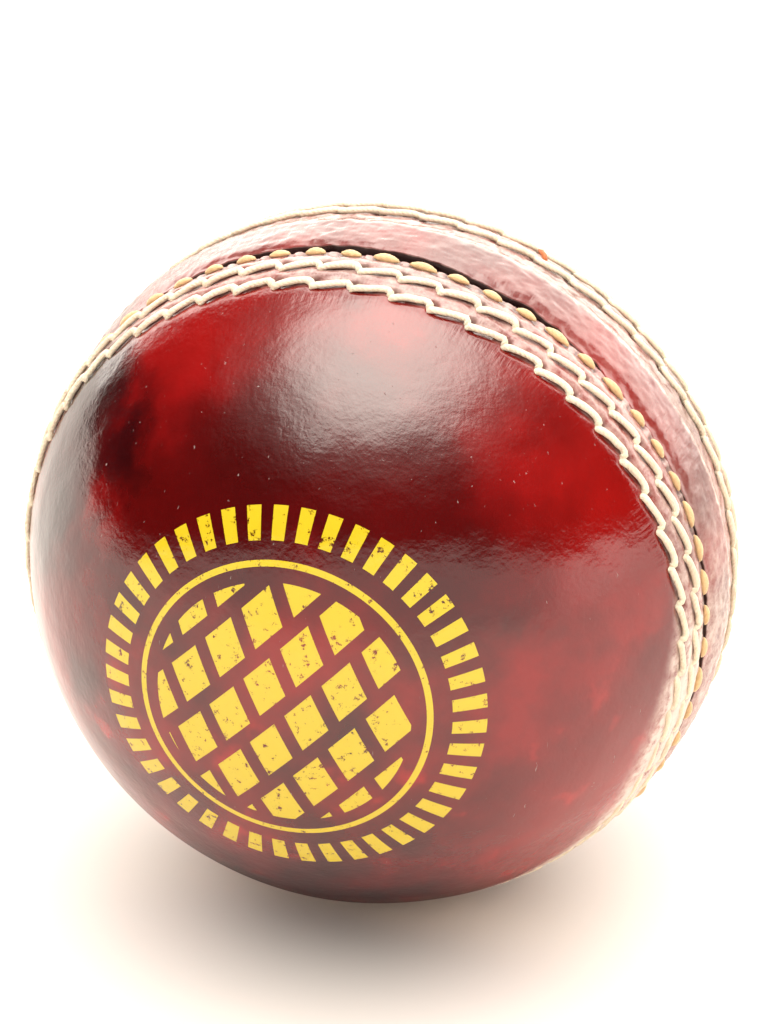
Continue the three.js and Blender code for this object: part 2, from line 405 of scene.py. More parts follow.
def waxed_linen(name, base, plies):
    """Linen thread drawn through beeswax: pale and smooth with a soft sheen, its plies just showing."""
    material, tree = new_material(name)
    place = millimetres(tree)
    uv = add(tree, "ShaderNodeUVMap", uv_map="UVMap")
    parts = add(tree, "ShaderNodeSeparateXYZ", {0: uv}, take=None)
    lay = 1.5  # mm of thread in which a ply goes once round
    turns = add(tree, "ShaderNodeMath", {0: parts[0], 1: 1 / lay, 2: parts[1]}, operation="MULTIPLY_ADD")
    phase = add(tree, "ShaderNodeMath", {0: turns, 1: plies * math.tau}, operation="MULTIPLY")
    ply = add(tree, "ShaderNodeMath", {0: phase}, operation="SINE")
    fibres = add(
        tree, "ShaderNodeTexNoise", {"Vector": place, "Scale": 1 / 0.18, "Detail": 3.0, "Roughness": 0.7}
    )
    height = add(tree, "ShaderNodeMath", {0: ply, 1: 0.14, 2: fibres}, operation="MULTIPLY_ADD")
    bump = add(tree, "ShaderNodeBump", {"Strength": 1.0, "Distance": 0.12 * MM, "Height": height})
    soil = add(
        tree, "ShaderNodeTexNoise", {"Vector": place, "Scale": 1 / 3, "Detail": 3.0, "Roughness": 0.6}
    )
    soiled = add(tree, "ShaderNodeMapRange", {0: soil, 1: 0.45, 2: 0.8, 3: 0.0, 4: 0.35})
    darker = (base[0] * 0.55, base[1] * 0.42, base[2] * 0.34, 1)
    shade = add(
        tree, "ShaderNodeMix", {0: soiled, 6: tuple(base), 7: darker}, data_type="RGBA", take=2)
    thread = add(
        tree,
        "ShaderNodeBsdfPrincipled",
        {
            "Base Color": shade,
            "Roughness": 0.55,
            "Normal": bump,
            "Sheen Weight": 0.2,
            "Subsurface Weight": 0.15,
            "Subsurface Radius": (0.4 * MM, 0.25 * MM, 0.15 * MM),
            "Subsurface Scale": 1.0,
        },
    )
    add(tree, "ShaderNodeOutputMaterial", {0: thread})
    return material


def worsted(colours):
    """Undyed wool spun worsted: matt cream strands with a slight fuzz."""
    material, tree = new_material("worsted_yarn_spun_wool")
    place = millimetres(tree)
    fibres = add(
        tree, "ShaderNodeTexNoise", {"Vector": place, "Scale": 1 / 0.3, "Detail": 4.0, "Roughness": 0.8}
    )
    shade = add(tree, "ShaderNodeMapRange", {0: fibres, 1: 0.3, 2: 0.7, 3: 0.7, 4: 1.1})
    tint = add(tree, "ShaderNodeVectorMath", {0: tuple(colours.yarn)[:3], 3: shade}, operation="SCALE")
    bump = add(tree, "ShaderNodeBump", {"Strength": 0.7, "Distance": 0.1 * MM, "Height": fibres})
    wool = add(
        tree,
        "ShaderNodeBsdfPrincipled",
        {"Base Color": tint, "Roughness": 0.9, "Normal": bump, "Sheen Weight": 0.5, "Sheen Roughness": 0.5},
    )
    add(tree, "ShaderNodeOutputMaterial", {0: wool})
    return material


def backing_cloth(colours):
    """Woven cotton stuck to the leather's flesh side: a coarse, dull, plain weave."""
    material, tree = new_material("cotton_backing_plain_weave")
    place = millimetres(tree)
    thread_spacing = 0.8
    parts = add(tree, "ShaderNodeSeparateXYZ", {0: place}, take=None)
    waves = []
    for axis in (0, 2):
        scaled = add(
            tree, "ShaderNodeMath", {0: parts[axis], 1: math.pi / thread_spacing}, operation="MULTIPLY"
        )
        waves.append(add(tree, "ShaderNodeMath", {0: scaled}, operation="SINE"))
    weave = add(tree, "ShaderNodeMath", {0: waves[0], 1: waves[1]}, operation="MULTIPLY")
    lift = add(tree, "ShaderNodeMapRange", {0: weave, 1: -1.0, 2: 1.0})
    slubs = add(
        tree, "ShaderNodeTexNoise", {"Vector": place, "Scale": 1 / 4, "Detail": 5.0, "Roughness": 0.7}
    )
    shade = add(
        tree,
        "ShaderNodeValToRGB",
        {0: slubs},
        stops=[(0.3, linear("#8d7c5e")), (0.7, tuple(colours.cloth))],
    )
    bump = add(tree, "ShaderNodeBump", {"Strength": 0.8, "Distance": 0.2 * MM, "Height": lift})
    cloth = add(
        tree,
        "ShaderNodeBsdfPrincipled",
        {"Base Color": shade, "Roughness": 0.95, "Normal": bump, "Sheen Weight": 0.3},
    )
    add(tree, "ShaderNodeOutputMaterial", {0: cloth})
    return material


def granular(name, pale, dark, grit, roughness):
    """Cork, pressed from granules: tan cells with darker bark between them."""
    material, tree = new_material(name)
    place = millimetres(tree)
    granules = {"Vector": place, "Scale": 1 / grit, "Randomness": 1.0}
    cells = add(tree, "ShaderNodeTexVoronoi", granules, take=None)
    tone = add(tree, "ShaderNodeSeparateColor", {0: cells["Color"]})
    shade = add(tree, "ShaderNodeValToRGB", {0: tone}, stops=[(0.15, dark), (0.55, pale)])
    pits = add(
        tree, "ShaderNodeTexNoise", {"Vector": place, "Scale": 2.5 / grit, "Detail": 5.0, "Roughness": 0.75}
    )
    height = add(tree, "ShaderNodeMath", {0: cells["Distance"], 1: -0.6, 2: pits}, operation="MULTIPLY_ADD")
    bump = add(tree, "ShaderNodeBump", {"Strength": 0.6, "Distance": 0.25 * MM, "Height": height})
    block = add(
        tree, "ShaderNodeBsdfPrincipled", {"Base Color": shade, "Roughness": roughness, "Normal": bump}
    )
    add(tree, "ShaderNodeOutputMaterial", {0: block})
    return material


def painted_board(stage):
    """Board painted matt white: an even white with a trace of roller marks."""
    material, tree = new_material("matt_white_painted_board")
    place = millimetres(tree)
    marks = add(
        tree, "ShaderNodeTexNoise", {"Vector": place, "Scale": 1 / 2, "Detail": 3.0, "Roughness": 0.6}
    )
    bump = add(tree, "ShaderNodeBump", {"Strength": 0.1, "Distance": 0.05 * MM, "Height": marks})
    paint = add(
        tree,
        "ShaderNodeBsdfPrincipled",
        {
            "Base Color": tuple(stage.floor),
            "Roughness": 0.8,
            "Specular IOR Level": 0.2,
            "Normal": bump,
        },
    )
    add(tree, "ShaderNodeOutputMaterial", {0: paint})
    return material


# ---------------------------------------------------------------- mesh helpers


def on_half(front, latitude, longitude, radius):
    """Points in metres, from degrees towards the half's own pole, degrees round the seam and mm from the
    centre. The back half is the front half turned over about X."""
    up, turn = np.radians(latitude), np.radians(longitude)
    x = radius * np.cos(up) * np.sin(turn)
    y = -radius * np.sin(up)
    z = radius * np.cos(up) * np.cos(turn)
    if not front:
        y, z = -y, -z
    return np.stack(np.broadcast_arrays(x, y, z), axis=-1) * MM


def object_from(name, points, faces, material, closed=True):
    """A smooth mesh object at the origin whose faces point outwards."""
    mesh = bpy.data.meshes.new(name)
    mesh.from_pydata([tuple(p) for p in points], [], faces)
    mesh.update()
    if closed:
        mesh.calc_loop_triangles()
        corner = np.array([t.vertices[:] for t in mesh.loop_triangles])
        a, b, c = (np.asarray(points)[corner[:, i]] for i in range(3))
        if np.einsum("ij,ij->i", a, np.cross(b, c)).sum() < 0:
            mesh.flip_normals()
    mesh.shade_smooth()
    mesh.materials.append(material)
    made = bpy.data.objects.new(name, mesh)
    bpy.context.scene.collection.objects.link(made)
    return made


def ring_faces(first, count, second, other):
    """Faces between two rings of vertices, the second of which may have half or twice as many."""
    faces = []
    for i in range(min(count, other)):
        if count == other:
            j = (i + 1) % count
            faces.append((first + i, first + j, second + j, second + i))
        elif count > other:
            a, b, c = 2 * i, 2 * i + 1, (2 * i + 2) % count
            j = (i + 1) % other
            faces.append((first + a, first + b, second + i))
            faces.append((first + b, first + c, second + j, second + i))
        else:
            a, b, c = 2 * i, 2 * i + 1, (2 * i + 2) % other
            j = (i + 1) % count
            faces.append((second + b, second + a, first + i))
            faces.append((second + c, second + b, first + i, first + j))
    return faces


def skin(rings):
    """The faces of a closed skin whose rings of vertices run from pole to pole, each a single vertex."""
    faces = []
    start = 0
    for count, other in zip(rings, rings[1:]):
        following = start + count
        if count == 1:
            faces += [(start, following + (i + 1) % other, following + i) for i in range(other)]
        elif other == 1:
            faces += [(start + i, start + (i + 1) % count, following) for i in range(count)]
        else:
            faces += ring_faces(start, count, following, other)
        start = following
    return faces


def smooth(value, low, high):
    """0 below low, 1 above high and an even rise between them."""
    t = np.clip((value - low) / (high - low), 0, 1)
    return t * t * (3 - 2 * t)


def bell(value, middle, width):
    return np.exp(-(((value - middle) / width) ** 2))


def roughly(points, size, seed):
    """Smooth noise from about -1 to 1 at each point in mm, with lumps of that size in mm."""
    shifted = (np.asarray(points) / size + 17.3 * seed).tolist()
    return np.array([noise.noise(p) for p in shifted])


def keep(piece, slot, *nodes):
    """The piece rides on the ball and stands for those CAD nodes, which are hidden. The slot is not used."""
    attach(piece, "root")
    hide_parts(*nodes)


# ---------------------------------------------------------------- leather cups

NEEDLE_HOLE = 0.38  # mm
HOLE_DEPTH = 0.8  # mm
HOLE_SHIFT = -0.7  # degrees from the row to its needle holes, towards the joint
HOLE_LAG = 0.06  # share of a stitch by which its hole lies behind its start
AROUND = 768  # vertices round the stitched band
WORN_STRETCH = (72, 205)  # degrees round the seam
WORN_FADE = 36  # degrees
WORN_DEPTH = 0.62  # mm by which the worn cream stitches have sunk
WORN_BEADS = 0.2  # mm by which the worn closing stitches have sunk
FOLD = 4.0  # degrees behind the middle plane where the back lip folds down towards the joint
WALL_FALL = 0.055  # mm that the lip falls in each degree from there
# Tears in the back lip: degrees round the seam from the top towards +X, half width and depth in degrees.
TEARS = ((27, 2.2, 0.8), (33, 0.9, 0.5), (41, 1.5, 0.8))
# The lip's cut edge: mm below the lip's skin, and degrees by which it leans towards the joint there.
CUT_EDGE = ((0.12, 0.1), (0.4, 0.22), (0.9, 0.25), (1.6, 0.2), (2.6, 0.1))


def from_hole(latitude, longitude, row, count):
    """Distance in mm from the nearest needle hole of a row, and how far along its stitch a point is."""
    pitch = 360 / count
    phase = (longitude / pitch) % 1
    along = ((phase - HOLE_LAG + 0.5) % 1 - 0.5) * pitch * DEGREE * math.cos(math.radians(row))
    across = (latitude - row - HOLE_SHIFT) * DEGREE
    return np.hypot(along, across), phase


def worn(longitude):
    """How far the front half's seam is worn flat there, from 0 to 1."""
    start, end = WORN_STRETCH
    return smooth(longitude, start, start + WORN_FADE) * (1 - smooth(longitude, end - WORN_FADE, end))


def gape(longitude):
    """How far the joint gapes there, from 0 to 1: wide open at the top, half open down the side towards +X
    and drawn shut elsewhere."""
    from_top = (longitude + 180) % 360 - 180
    side = 0.5 * smooth(from_top, 45, 80) * (1 - smooth(from_top, 150, 175))
    return np.maximum(bell(from_top, 0, 38), side)


def back_from_top(longitude):
    """Degrees from the top towards +X, from -180 to 180, of a place on the back half."""
    return (180 - longitude + 180) % 360 - 180


def rub_and_painted_sheen(latitude, longitude, front):
    """How far the band's leather is painted pale: partly rubbed leather, partly painted sheen. On the front
    half that is most on the worn stretch. On the back half it is a painted reflection behind the fold and on
    the side towards +X, and a painted highlight along the crest."""
    if front:
        return 0.72 + 1.9 * worn(longitude)
    from_top = back_from_top(longitude)
    right_side = smooth(from_top, 62, 98)
    left_side = smooth(-from_top, 30, 65)
    behind = np.maximum(smooth(latitude, FOLD - 0.6, FOLD + 0.6), right_side)
    rubbed = (0.15 + 0.6 * behind + 0.3 * right_side) * (1 - 0.55 * left_side)
    # Painted highlight: a pale line along the crest where the lip folds
    return rubbed + 0.9 * bell(latitude, FOLD + 0.2, 0.5) * smooth(from_top, 15, 40)


def stitched_band(latitude, longitude, puff):
    """How far the leather stands above the round ball where the rows are, and how much painted shade its
    needle holes and grooves get.
    """
    rise = BAND_RISE * (1 - smooth(latitude, OUTER_ROW - 3, OUTER_ROW + 16))
    hollow = np.zeros_like(rise)
    for row in (INNER_ROW, OUTER_ROW):
        distance, phase = from_hole(latitude, longitude, row, CREAM_STITCHES)
        hole = np.exp(-((distance / NEEDLE_HOLE) ** 2))
        drift = row + 0.75 - 1.5 * phase  # the groove follows the slanting stitch
        groove = bell(latitude, drift, 0.75) * (0.35 + 0.65 * np.sin(np.pi * phase))
        rise = rise - 0.26 * groove - HOLE_DEPTH * hole
        hollow = np.maximum(hollow, np.maximum(hole, 0.3 * groove))
    for middle, width in (((INNER_ROW + OUTER_ROW) / 2, 1.3), (OUTER_ROW + 2.4, 1.0)):
        _, phase = from_hole(latitude, longitude, INNER_ROW, CREAM_STITCHES)
        swell = 0.7 + 0.3 * np.sin(np.pi * phase)
        rise = rise + puff * bell(latitude, middle, width) * swell * (1 if middle < OUTER_ROW else 0.1)
    return rise, hollow


def front_surface(latitude, longitude, puff):
    """The front cup: its lip is trodden down by the closing thread, which sits in a row of pockets. Down the
    side towards +X the gaps between its stitches are wider and deeper."""
    rise, hollow = stitched_band(latitude, longitude, puff)
    flat = worn(longitude)
    open_here = 0.15 + 0.85 * gape(longitude)
    rise = rise * (1 - 0.62 * flat)
    hollow = hollow * (1 - 0.75 * flat)
    rise = rise + 0.6 * puff * bell(latitude, 9.2, 0.9)
    rise = rise - 0.28 * (1 - smooth(latitude, CLOSING_ROW + 0.5, CLOSING_ROW + 2.2))
    rise = rise - 0.75 * open_here * (1 - smooth(latitude, FRONT_LIP - 0.3, CLOSING_ROW - 0.3))
    _, phase = from_hole(latitude, longitude, CLOSING_ROW, CLOSING_STITCHES)
    pocket = bell(latitude, CLOSING_ROW, 0.9) * bell(phase, 0.5, 0.32)
    gaps = smooth(longitude, 50, 85) * (1 - smooth(longitude, 200, 230))
    ends = bell(np.abs(phase - 0.5), 0.32 + 0.1 * gaps, 0.07 + 0.05 * gaps)
    ends = bell(latitude, CLOSING_ROW - 0.3 * gaps, 0.7) * ends
    rise = rise - 0.14 * pocket - (0.3 + 0.5 * gaps) * ends
    # Painted shade: the joint's mouth and the gaps between the closing stitches are darkened in colour
    mouth = open_here * (1 - smooth(latitude, FRONT_LIP, FRONT_LIP + 1.0))
    gap_shade = np.maximum(mouth, (0.7 + 0.4 * gaps) * ends)
    return rise, np.maximum(hollow, 0.9 * gap_shade)


def back_surface(latitude, longitude, puff):
    """The back cup: its lip swells to the ball's largest girth, except on the worn stretch, and hangs over
    the joint."""
    rise, hollow = stitched_band(latitude, longitude, puff)
    crest = CREST_RADIUS - BALL_RADIUS - BAND_RISE + 0.06
    crest = crest * (1 - 0.75 * worn((180 - longitude) % 360))
    behind = bell(np.maximum(latitude, FOLD), FOLD, 2.2)
    rise = rise + crest * behind - WALL_FALL * np.maximum(FOLD - latitude, 0)
    rise = rise - 0.2 * smooth(-latitude, -BACK_LIP - 1.5, -BACK_LIP + 1)
    return rise, hollow


def lip_wave(longitude, front):
    """How far a lip's cut edge strays along the seam, in degrees. The back lip is drawn over the joint where
    that doesn't gape, and has three small tears."""
    turn = np.radians(longitude)
    circle = np.stack([np.sin(turn), np.cos(turn), np.full_like(turn, 3.0 if front else 7.0)], axis=-1)
    wave = 0.35 * roughly(circle, 0.16, 1) + 0.15 * roughly(circle, 0.05, 2)
    if not front:
        from_top = back_from_top(longitude)
        wave = wave - 2.3 * (1 - gape(from_top)) - 0.1
        for tear, width, depth in TEARS:
            wave = wave + depth * bell(from_top, tear, width)
    return wave


def cup(name, front, puff, material):
    """One leather cup: latitudes from the pole to the lip, down the lip's edge, and back up inside."""
    surface = front_surface if front else back_surface
    edge = FRONT_LIP if front else BACK_LIP
    outer = [(90.0, 1)]
    outer += [(latitude, AROUND // 8) for latitude in np.arange(88.5, 70, -1.5)]
    outer += [(latitude, AROUND // 4) for latitude in np.arange(70, 36, -1.0)]
    outer += [(latitude, AROUND // 2) for latitude in np.arange(36, 20, -0.5)]
    outer += [(latitude, AROUND) for latitude in np.linspace(20, edge, round((20 - edge) / 0.25))]
    points, rings, hollow_shades, bands, folds = [], [], [], [], []
    for latitude, count in outer:
        longitude = np.arange(count) * 360 / count
        near_edge = 1 - smooth(latitude, edge, edge + 3.5)
        strayed = latitude + near_edge * lip_wave(longitude, front)
        rise, hollow = surface(strayed, longitude, puff)
        at = on_half(front, strayed, longitude, np.full(count, BALL_RADIUS)) / MM
        flat = worn(longitude) if front else np.zeros(count)
        band = 1 - smooth(latitude, OUTER_ROW - 0.5, OUTER_ROW + 1.0 + 7 * flat)
        puckers = 0.1 * roughly(at, 1.1, 4) + 0.06 * roughly(at, 0.55, 5)
        rise = rise + 0.09 * roughly(at, 14, 3) + band * puckers
        points.append(on_half(front, strayed, longitude, BALL_RADIUS + rise))
        rings.append(count)
        hollow_shades.append(hollow)
        # The band attribute carries the pale rub and painted sheen
        bands.append(band * rub_and_painted_sheen(strayed, longitude, front))
        fold = smooth(latitude, edge, edge + 2) * (1 - smooth(latitude, OUTER_ROW + 1, OUTER_ROW + 6))
        folds.append(np.full(count, fold))
    lip_latitude, lip_radius = strayed, BALL_RADIUS + rise
    for depth, back in CUT_EDGE:
        inward = lip_latitude - back if front else lip_latitude - back * 0.6
        points.append(on_half(front, inward, longitude, lip_radius - depth))
        rings.append(count)
        # Painted shade: the lip's cut edge is darkened almost fully
        hollow_shades.append(np.full(count, 0.95))
        bands.append(np.ones(count))
        folds.append(np.zeros(count))
    inside = [(edge, AROUND), (edge + 1.0, AROUND // 2), (edge + 3.0, AROUND // 4)]
    inside += [(latitude, AROUND // 8) for latitude in np.arange(edge + 6, 88, 4.0)] + [(90.0, 1)]
    for latitude, count in inside:
        longitude = np.arange(count) * 360 / count
        points.append(on_half(front, np.full(count, latitude), longitude, np.full(count, LEATHER_INSIDE)))
        rings.append(count)
        hollow_shades.append(np.zeros(count))
        bands.append(np.ones(count))
        folds.append(np.zeros(count))
    made = object_from(name, np.concatenate(points), skin(rings), material)
    for attribute, values in (("hollow", hollow_shades), ("band", bands), ("creased", folds)):
        layer = made.data.attributes.new(attribute, "FLOAT", "POINT")
        layer.data.foreach_set("value", np.concatenate(values).astype(np.float32))
    return made


# ---------------------------------------------------------------- thread


def swept(name, path, widths, heights, sides, material):
    """A closed tube along a path in metres, with its length in mm and the share of a turn as its UV."""
    path = np.asarray(path)
    tangents = np.gradient(path, axis=0)
    tangents /= np.linalg.norm(tangents, axis=1)[:, None]
    outwards = path / np.linalg.norm(path, axis=1)[:, None]
    across = np.cross(tangents, outwards)
    across /= np.linalg.norm(across, axis=1)[:, None]
    normals = np.cross(across, tangents)
    turn = np.arange(sides) * math.tau / sides
    points = (
        path[:, None]
        + across[:, None] * (np.cos(turn)[None, :, None] * widths[:, None, None] * MM / 2)
        + normals[:, None] * (np.sin(turn)[None, :, None] * heights[:, None, None] * MM / 2)
    ).reshape(-1, 3)
    faces = []
    for i in range(len(path) - 1):
        faces += ring_faces(i * sides, sides, (i + 1) * sides, sides)
    last = (len(path) - 1) * sides
    faces += [tuple(range(sides))[::-1], tuple(range(last, last + sides))]
    made = object_from(name, points, faces, material, closed=False)
    run = np.concatenate([[0], np.cumsum(np.linalg.norm(np.diff(path, axis=0), axis=1))]) / MM
    layer = made.data.uv_layers.new(name="UVMap")
    for polygon in made.data.polygons:
        wraps = any(made.data.loops[i].vertex_index % sides == sides - 1 for i in polygon.loop_indices)
        for i in polygon.loop_indices:
            ring, side = divmod(made.data.loops[i].vertex_index, sides)
            layer.data[i].uv = (run[ring], (side + (sides if wraps and side == 0 else 0)) / sides)
    return made


# A stitch, as shares of its pitch along the row, mm towards the pole and mm above its seat.
STITCH_PATH = (
    (-0.01, 0.34, -0.75),
    (0.0, 0.36, -0.2),
    (0.05, 0.34, 0.14),
    (0.2, 0.2, 0.3),
    (0.42, -0.04, 0.34),
    (0.64, -0.25, 0.33),
    (0.81, -0.37, 0.32),
    (0.915, -0.36, 0.31),
    (0.975, -0.16, 0.28),
    (0.995, 0.08, 0.1),
    (1.0, 0.22, -0.7),
)
BEAD_PATH = (-0.5, -0.42, -0.27, -0.1, 0.08, 0.26, 0.42, 0.5)  # shares of the stitch that shows
BEAD_LIFT = (-0.16, -0.05, 0.02, 0.06, 0.06, 0.03, -0.04, -0.16)  # mm above its seat
BEAD_SWELL = (0.15, 0.5, 0.82, 1.0, 1.0, 0.8, 0.48, 0.12)  # share of the thread's full width
# The cut end of the closing thread, which comes out beside the back outer row: degrees towards the back
# pole, degrees round the back half and mm above the band.
LOOSE_END = (
    (12.4, 155.0, -0.5),
    (12.7, 155.3, 0.1),
    (13.2, 155.8, 0.35),
    (13.9, 156.4, 0.4),
    (14.6, 157.0, 0.3),
)
LOOSE_WIDTHS = (0.5, 0.6, 0.62, 0.58, 0.3)  # mm
STITCH_FLATNESS = 0.82  # height of a cream stitch's section as a share of its width
BEAD_FLATNESS = 0.75
THREAD_SIDES = 8
PATTERNS = 5  # stitches of different shapes, from which each row draws at random


def stitch_patterns(row, seat, width, rng, material):
    """Stitches at the top of the front half, each bent a little differently."""
    made = []
    pitch = 360 / CREAM_STITCHES
    for i in range(PATTERNS):
        bend = rng.uniform(-0.09, 0.09)
        reach = rng.uniform(0.9, 1.12)
        along, across, lift = (np.array(values) for values in zip(*STITCH_PATH))
        across = across * reach + bend * np.sin(np.pi * np.clip(along, 0, 1)) * 1.5
        across = across + rng.normal(0, 0.035, len(along))
        lift = lift + rng.normal(0, 0.02, len(along))
        path = on_half(True, row + across / DEGREE, along * pitch, seat + lift)
        widths = np.full(len(along), width) * rng.uniform(0.94, 1.06) * rng.uniform(0.86, 1.06, len(along))
        widths[0] *= 0.7
        widths[-1] *= 0.7
        heights = widths * STITCH_FLATNESS
        made.append(swept(f"stitch_pattern_{i}", path, widths, heights, THREAD_SIDES, material))
    return made


def bead_patterns(seat, shown, width, rng, material):
    """Closing stitches at the top of the front half, which show as short pointed beads."""
    made = []
    pitch = 360 / CLOSING_STITCHES
    for i in range(PATTERNS):
        size = shown * rng.uniform(0.84, 1.28)
        tilt = rng.uniform(-0.1, 0.16)
        share = np.array(BEAD_PATH)
        longitude = pitch / 2 + np.degrees(share * size / BALL_RADIUS)
        across = -tilt * share * size + 0.1 * np.sin(3 * share + i)
        path = on_half(True, CLOSING_ROW + across / DEGREE, longitude, seat + np.array(BEAD_LIFT))
        widths = width * np.array(BEAD_SWELL) * rng.uniform(0.85, 1.08)
        made.append(swept(f"bead_pattern_{i}", path, widths, widths * BEAD_FLATNESS, THREAD_SIDES, material))
    return made


def row_tree():
    """A row of stitches: patterns drawn at random and turned about the ball's Y axis, one for each pitch."""
    tree = bpy.data.node_groups.new("stitched_row", "GeometryNodeTree")
    sockets = (
        ("Patterns", "NodeSocketCollection"),
        ("Stitches", "NodeSocketInt"),
        ("Pattern count", "NodeSocketInt"),
        ("Stray along", "NodeSocketFloat"),
        ("Stray across", "NodeSocketFloat"),
        ("Half turn", "NodeSocketFloat"),
        ("Worn from", "NodeSocketFloat"),
        ("Worn to", "NodeSocketFloat"),
        ("Worn fade", "NodeSocketFloat"),
        ("Worn scale", "NodeSocketFloat"),
        ("Seed", "NodeSocketInt"),
        ("Thread", "NodeSocketMaterial"),
    )
    tree.interface.new_socket(name="Geometry", in_out="INPUT", socket_type="NodeSocketGeometry")
    for name, kind in sockets:
        tree.interface.new_socket(name=name, in_out="INPUT", socket_type=kind)
    tree.interface.new_socket(name="Geometry", in_out="OUTPUT", socket_type="NodeSocketGeometry")
    given = add(tree, "NodeGroupInput", take=None)
    spots = add(tree, "GeometryNodePoints", {"Count": given["Stitches"]})
    index = add(tree, "GeometryNodeInputIndex")
    pitch = add(tree, "ShaderNodeMath", {0: math.tau, 1: given["Stitches"]}, operation="DIVIDE")
    turn = add(tree, "ShaderNodeMath", {0: index, 1: pitch}, operation="MULTIPLY")
    strays = []
    for limit, shift in (("Stray along", 1), ("Stray across", 2)):
        seed = add(tree, "ShaderNodeMath", {0: given["Seed"], 1: shift}, operation="ADD")
        drawn = add(tree, "FunctionNodeRandomValue", {2: -1.0, 3: 1.0, 8: seed}, data_type="FLOAT", take=1)
        strays.append(add(tree, "ShaderNodeMath", {0: drawn, 1: given[limit]}, operation="MULTIPLY"))
    turned = add(tree, "ShaderNodeMath", {0: turn, 1: strays[0]}, operation="ADD")
    start, end, fade = given["Worn from"], given["Worn to"], given["Worn fade"]
    after = add(tree, "ShaderNodeMath", {0: start, 1: fade}, operation="ADD")
    before = add(tree, "ShaderNodeMath", {0: end, 1: fade}, operation="SUBTRACT")
    began = add(tree, "ShaderNodeMapRange", {0: turn, 1: start, 2: after}, interpolation_type="SMOOTHSTEP")
    size = add(
        tree,
        "ShaderNodeMapRange",
        {0: turn, 1: before, 2: end, 3: given["Worn scale"], 4: 1.0},
        interpolation_type="SMOOTHSTEP",
    )
    size = add(tree, "ShaderNodeMix", {0: began, 2: 1.0, 3: size}, data_type="FLOAT")
    rotation = add(tree, "ShaderNodeCombineXYZ", {0: strays[1], 1: turned})
    patterns = add(
        tree,
        "GeometryNodeCollectionInfo",
        {"Collection": given["Patterns"], "Separate Children": True, "Reset Children": True},
    )
    last = add(tree, "ShaderNodeMath", {0: given["Pattern count"], 1: 1.0}, operation="SUBTRACT")
    pick = {4: 0, 5: last, 8: given["Seed"]}
    choice = add(tree, "FunctionNodeRandomValue", pick, data_type="INT", take=2)
    stitches = add(
        tree,
        "GeometryNodeInstanceOnPoints",
        {
            "Points": spots,
            "Instance": patterns,
            "Pick Instance": True,
            "Instance Index": choice,
            "Rotation": rotation,
            "Scale": size,
        },
    )
    half_turn = add(tree, "ShaderNodeCombineXYZ", {0: given["Half turn"]})
    placed = add(tree, "GeometryNodeTransform", {"Geometry": stitches, "Rotation": half_turn})
    solid = add(tree, "GeometryNodeRealizeInstances", {0: placed})
    finished = add(tree, "GeometryNodeSetMaterial", {"Geometry": solid, "Material": given["Thread"]})
    add(tree, "NodeGroupOutput", {0: finished})
    return tree


def grown(name, tree, values):
    """The plain mesh object that a Geometry Nodes tree makes from those inputs."""
    made = bpy.data.objects.new(name, bpy.data.meshes.new(name))
    bpy.context.scene.collection.objects.link(made)
    modifier = made.modifiers.new(tree.name, "NODES")
    modifier.node_group = tree
    for socket in tree.interface.items_tree:
        if socket.in_out == "INPUT" and socket.name in values:
            modifier[socket.identifier] = values[socket.name]
    view = bpy.context.evaluated_depsgraph_get()
    view.update()
    mesh = bpy.data.meshes.new_from_object(made.evaluated_get(view))
    made.modifiers.remove(modifier)
    made.data = mesh
    mesh.name = name
    mesh.shade_smooth()
    return made


def thread_row(name, tree, patterns, count, front, seed, material, worn_depth=WORN_DEPTH):
    """One row of stitches, made from its patterns, which are then removed."""
    box = bpy.data.collections.new(f"{name}_patterns")
    bpy.context.scene.collection.children.link(box)
    for pattern in patterns:
        bpy.context.scene.collection.objects.unlink(pattern)
        box.objects.link(pattern)
    row = grown(
        name,
        tree,
        {
            "Patterns": box,
            "Stitches": count,
            "Pattern count": len(patterns),
            "Stray along": math.radians(0.12),
            "Stray across": math.radians(0.1),
            "Half turn": 0.0 if front else math.pi,
            "Worn from": math.radians(WORN_STRETCH[0]),
            "Worn to": math.radians(WORN_STRETCH[1]),
            "Worn fade": math.radians(WORN_FADE),
            "Worn scale": 1 - worn_depth / BALL_RADIUS if front else 1.0,
            "Seed": seed,
            "Thread": material,
        },
    )
    for pattern in patterns:
        bpy.data.objects.remove(pattern)
    bpy.data.collections.remove(box)
    return row


# ---------------------------------------------------------------- the quilt inside


YARN_SIDES = 5
POINTS_IN_A_TURN = 40  # of the yarn round the ball


